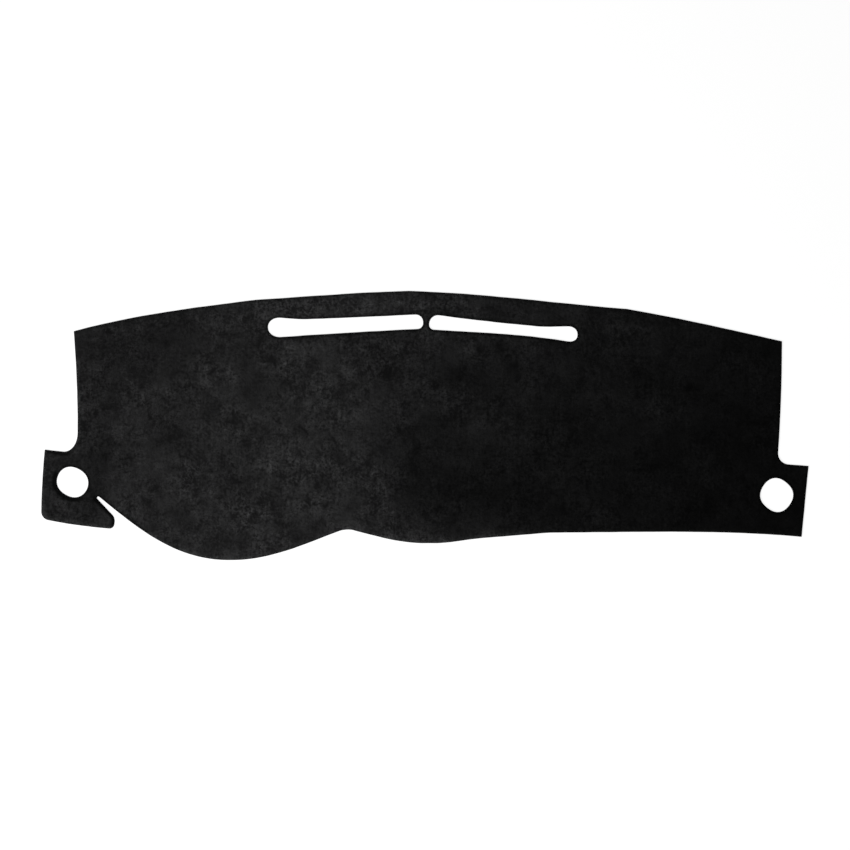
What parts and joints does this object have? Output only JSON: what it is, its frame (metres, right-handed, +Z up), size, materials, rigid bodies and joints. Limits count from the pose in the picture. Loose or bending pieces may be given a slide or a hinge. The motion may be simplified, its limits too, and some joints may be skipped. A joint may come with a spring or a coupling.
{
  "type": "dashboard cover mat",
  "caption": "Flat napped fabric mat cut to a car dashboard, with defroster slots, outlet holes in its corner tabs and a bulge over the instrument hood.",
  "frame": {"origin": "middle of the mat's bounding box, on the underside that lies on the dashboard", "axes": "+X along the mat from the driver's side to the passenger's side, +Y towards the windscreen, +Z up out of the nap"},
  "size_m": [1.45, 0.508, 0.004],
  "materials": {
    "napped_fabric": "matte black brushed suede-like nap"
  },
  "bodies": {
    "root": {"mat": "napped_fabric"}
  },
  "joints": []
}
